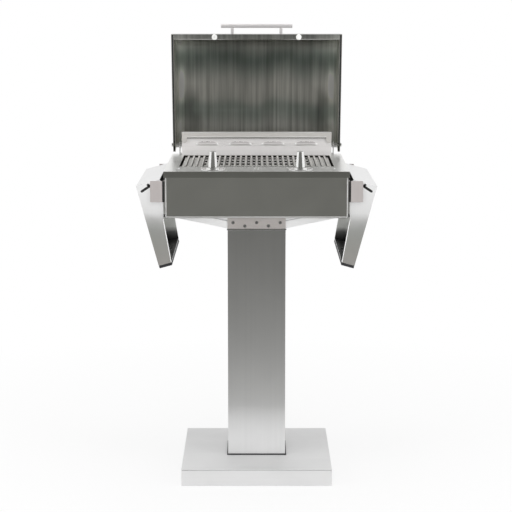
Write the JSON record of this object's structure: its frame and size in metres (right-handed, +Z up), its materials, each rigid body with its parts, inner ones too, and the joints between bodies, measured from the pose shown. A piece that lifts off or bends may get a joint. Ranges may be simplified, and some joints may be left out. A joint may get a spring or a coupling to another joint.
{
  "type": "pedestal electric grill",
  "caption": "Electric grill for a patio or park: a stainless body with ribbed cooking plate, tilting hood, knobs and folding side wings on a column and square base.",
  "frame": {"origin": "centre of the base's underside", "axes": "+X to the user's right, -Y towards the user at the knobs, +Z up; the hood is open"},
  "size_m": [0.672, 0.5713, 1.3071],
  "materials": {
    "brushed_stainless": "long brushed grain, lightly worn",
    "bright_steel": "turned or rolled, bright",
    "galvanised_steel": "hot-dip galvanised",
    "dark_steel": "heat-darkened, dull",
    "cast_plate": "cast, ground on top of the ribs, dulled by heat",
    "chrome": "polished",
    "black_rubber": "matt moulded",
    "white_rubber": "matt moulded",
    "black_plastic": "moulded",
    "white_nylon": "moulded",
    "ceramic": "unglazed ceramic",
    "wire_sleeve": "silicone sleeve",
    "lens": "clear diffusing",
    "brass": "turned"
  },
  "bodies": {
    "root": {"base_plate": "galvanised_steel", "base_cover": "brushed_stainless", "column_seal": "black_rubber", "column_foot": "galvanised_steel", "foot_bolts": "bright_steel", "column": "brushed_stainless", "column_head": "bright_steel", "head_gasket": "black_rubber", "head_bolts": "bright_steel", "saddle": "brushed_stainless", "neck_plates": "brushed_stainless", "neck_screws": "bright_steel", "saddle_bolts": "bright_steel", "body_tub": "brushed_stainless", "front_panel": "brushed_stainless", "rear_panel": "brushed_stainless", "deck": "brushed_stainless", "deck_screws": "bright_steel", "firebox": "dark_steel", "heating_element": "dark_steel", "element_bars": "dark_steel", "element_glands": "ceramic", "drip_tray": "brushed_stainless", "heat_shield": "brushed_stainless", "regulators": "black_plastic", "terminal_block": "ceramic", "wires": "wire_sleeve", "indicator_bezel": "chrome", "indicator_lens": "lens", "power_inlet": "black_plastic", "inlet_pins": "brass", "rear_baffle": "brushed_stainless", "rear_rail": "brushed_stainless", "hinge_brackets": "brushed_stainless", "hinge_bolts": "bright_steel", "hinge_nuts": "bright_steel", "hinge_spacers": "bright_steel", "knob_bezels": "chrome", "wing_brackets": "brushed_stainless", "bracket_screws": "bright_steel", "wing_pivots": "bright_steel", "pivot_washers": "white_nylon", "wing_bumpers": "black_rubber"},
    "hood": {"hood_shell": "brushed_stainless", "hood_cap_left": "brushed_stainless", "hood_cap_right": "brushed_stainless", "hood_seals": "black_rubber", "hood_bumpers": "white_rubber", "handle_tube": "chrome", "handle_posts": "chrome", "handle_screws": "bright_steel"},
    "plate": {"cooking_plate": "cast_plate"},
    "knob_left": {"knob_left": "chrome", "spindle_left": "bright_steel"},
    "knob_right": {"knob_right": "chrome", "spindle_right": "bright_steel"},
    "wing_left": {"wing_left": "brushed_stainless", "wing_foot_left": "black_rubber"},
    "wing_right": {"wing_right": "brushed_stainless", "wing_foot_right": "black_rubber"}
  },
  "joints": [
    {"name": "hood_hinge", "type": "hinge", "parent": "root", "child": "hood", "pos_m": [0, 0.225, 0.939], "axis": [1, 0, 0], "range_deg": [0, 78.4]},
    {"name": "plate_lift", "type": "slide", "parent": "root", "child": "plate", "axis": [0, 0, 1], "range_m": [0, 0.05]},
    {"name": "knob_left_turn", "type": "hinge", "parent": "root", "child": "knob_left", "pos_m": [-0.1225, -0.18, 0.93], "axis": [0, 0, -1], "range_deg": [0, 270]},
    {"name": "knob_right_turn", "type": "hinge", "parent": "root", "child": "knob_right", "pos_m": [0.1225, -0.18, 0.93], "axis": [0, 0, -1], "range_deg": [0, 270]},
    {"name": "wing_left_fold", "type": "hinge", "parent": "root", "child": "wing_left", "pos_m": [-0.287, 0, 0.865], "axis": [0, 1, 0], "range_deg": [0, 105.3]},
    {"name": "wing_right_fold", "type": "hinge", "parent": "root", "child": "wing_right", "pos_m": [0.287, 0, 0.865], "axis": [0, -1, 0], "range_deg": [0, 105.3]}
  ]
}
